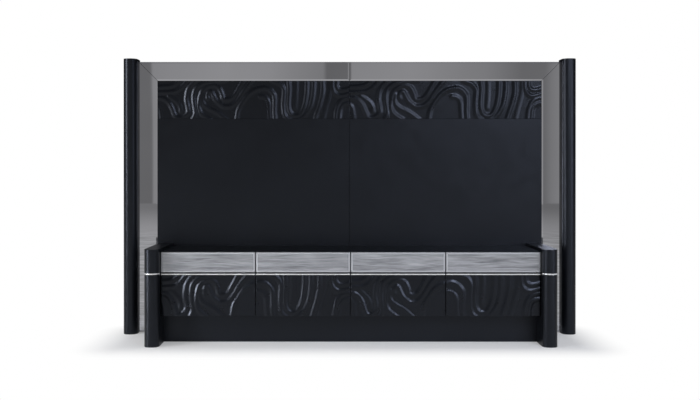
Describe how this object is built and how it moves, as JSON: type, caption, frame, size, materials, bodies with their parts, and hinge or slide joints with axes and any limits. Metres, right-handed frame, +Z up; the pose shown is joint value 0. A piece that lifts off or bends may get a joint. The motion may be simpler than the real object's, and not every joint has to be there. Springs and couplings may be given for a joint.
{
  "type": "tv wall unit",
  "caption": "Near-black wall unit for a television: mirrored and carved back wall between rounded columns, with a low console of drawers and drop-down flaps.",
  "frame": {"origin": "on the floor, in the middle of the unit's length and depth", "axes": "+X along the wall to the right as seen from the front, +Y from the front to the back, +Z up"},
  "size_m": [3.108, 0.525, 1.888],
  "materials": {
    "lacquer": "satin near-black lacquer",
    "carved_lacquer": "satin near-black lacquer on carved board",
    "smoked_mirror": "smoked, bevelled mirror",
    "streaked_mirror": "smoked mirror with a horizontal streaked print, bevelled",
    "polished_nickel": "polished nickel",
    "backing_board": "dark melamine board",
    "front_board": "satin near-black lacquer",
    "drawer_box": "grey melamine board with grain",
    "zinc_steel": "zinc plated",
    "glide_plastic": "matt"
  },
  "bodies": {
    "cabinet": {"column_left": "lacquer", "column_right": "lacquer", "upright_closers": "lacquer", "post_left": "lacquer", "post_right": "lacquer", "wall_panel_left": "lacquer", "wall_panel_right": "lacquer", "console_top": "lacquer", "plinth": "lacquer", "console_sides": "lacquer", "console_partitions": "lacquer", "console_bottom": "lacquer", "drawer_decks": "lacquer", "frieze_left": "carved_lacquer", "frieze_right": "carved_lacquer", "top_mirrors": "smoked_mirror", "side_mirrors": "smoked_mirror", "post_bands": "polished_nickel", "wall_board_left": "backing_board", "wall_board_right": "backing_board", "mirror_packers": "backing_board", "console_backs": "backing_board", "cabinet_runners": "zinc_steel", "flap_hinges": "zinc_steel", "wall_fittings": "zinc_steel", "assembly_screws": "zinc_steel", "wall_glides": "glide_plastic"},
    "drawer_1": {"drawer_1_glass": "streaked_mirror", "drawer_1_front": "front_board", "drawer_1_box": "drawer_box", "drawer_1_runner_inner": "zinc_steel"},
    "drawer_1_runner": {"drawer_1_runner_middle": "zinc_steel"},
    "flap_1": {"flap_1_board": "carved_lacquer", "flap_1_profile": "polished_nickel", "flap_1_hinge_leaves": "zinc_steel"},
    "drawer_2": {"drawer_2_glass": "streaked_mirror", "drawer_2_front": "front_board", "drawer_2_box": "drawer_box", "drawer_2_runner_inner": "zinc_steel"},
    "drawer_2_runner": {"drawer_2_runner_middle": "zinc_steel"},
    "flap_2": {"flap_2_board": "carved_lacquer", "flap_2_profile": "polished_nickel", "flap_2_hinge_leaves": "zinc_steel"},
    "drawer_3": {"drawer_3_glass": "streaked_mirror", "drawer_3_front": "front_board", "drawer_3_box": "drawer_box", "drawer_3_runner_inner": "zinc_steel"},
    "drawer_3_runner": {"drawer_3_runner_middle": "zinc_steel"},
    "flap_3": {"flap_3_board": "carved_lacquer", "flap_3_profile": "polished_nickel", "flap_3_hinge_leaves": "zinc_steel"},
    "drawer_4": {"drawer_4_glass": "streaked_mirror", "drawer_4_front": "front_board", "drawer_4_box": "drawer_box", "drawer_4_runner_inner": "zinc_steel"},
    "drawer_4_runner": {"drawer_4_runner_middle": "zinc_steel"},
    "flap_4": {"flap_4_board": "carved_lacquer", "flap_4_profile": "polished_nickel", "flap_4_hinge_leaves": "zinc_steel"}
  },
  "joints": [
    {"name": "drawer_1_slide", "type": "slide", "parent": "cabinet", "child": "drawer_1", "axis": [0, -1, 0], "range_m": [0, 0.32]},
    {"name": "drawer_1_runner_slide", "type": "slide", "parent": "cabinet", "child": "drawer_1_runner", "axis": [0, -1, 0], "range_m": [0, 0.16]},
    {"name": "flap_1_hinge", "type": "hinge", "parent": "cabinet", "child": "flap_1", "pos_m": [-0.91538, -0.162, 0.193], "axis": [1, 0, 0], "range_deg": [0, 90]},
    {"name": "drawer_2_slide", "type": "slide", "parent": "cabinet", "child": "drawer_2", "axis": [0, -1, 0], "range_m": [0, 0.32]},
    {"name": "drawer_2_runner_slide", "type": "slide", "parent": "cabinet", "child": "drawer_2_runner", "axis": [0, -1, 0], "range_m": [0, 0.16]},
    {"name": "flap_2_hinge", "type": "hinge", "parent": "cabinet", "child": "flap_2", "pos_m": [-0.30512, -0.162, 0.193], "axis": [1, 0, 0], "range_deg": [0, 90]},
    {"name": "drawer_3_slide", "type": "slide", "parent": "cabinet", "child": "drawer_3", "axis": [0, -1, 0], "range_m": [0, 0.32]},
    {"name": "drawer_3_runner_slide", "type": "slide", "parent": "cabinet", "child": "drawer_3_runner", "axis": [0, -1, 0], "range_m": [0, 0.16]},
    {"name": "flap_3_hinge", "type": "hinge", "parent": "cabinet", "child": "flap_3", "pos_m": [0.30512, -0.162, 0.193], "axis": [1, 0, 0], "range_deg": [0, 90]},
    {"name": "drawer_4_slide", "type": "slide", "parent": "cabinet", "child": "drawer_4", "axis": [0, -1, 0], "range_m": [0, 0.32]},
    {"name": "drawer_4_runner_slide", "type": "slide", "parent": "cabinet", "child": "drawer_4_runner", "axis": [0, -1, 0], "range_m": [0, 0.16]},
    {"name": "flap_4_hinge", "type": "hinge", "parent": "cabinet", "child": "flap_4", "pos_m": [0.91538, -0.162, 0.193], "axis": [1, 0, 0], "range_deg": [0, 90]}
  ],
  "couplings": [
    {"joint": "drawer_1_runner_slide", "follows": "drawer_1_slide", "ratio": 0.5},
    {"joint": "drawer_2_runner_slide", "follows": "drawer_2_slide", "ratio": 0.5},
    {"joint": "drawer_3_runner_slide", "follows": "drawer_3_slide", "ratio": 0.5},
    {"joint": "drawer_4_runner_slide", "follows": "drawer_4_slide", "ratio": 0.5}
  ]
}
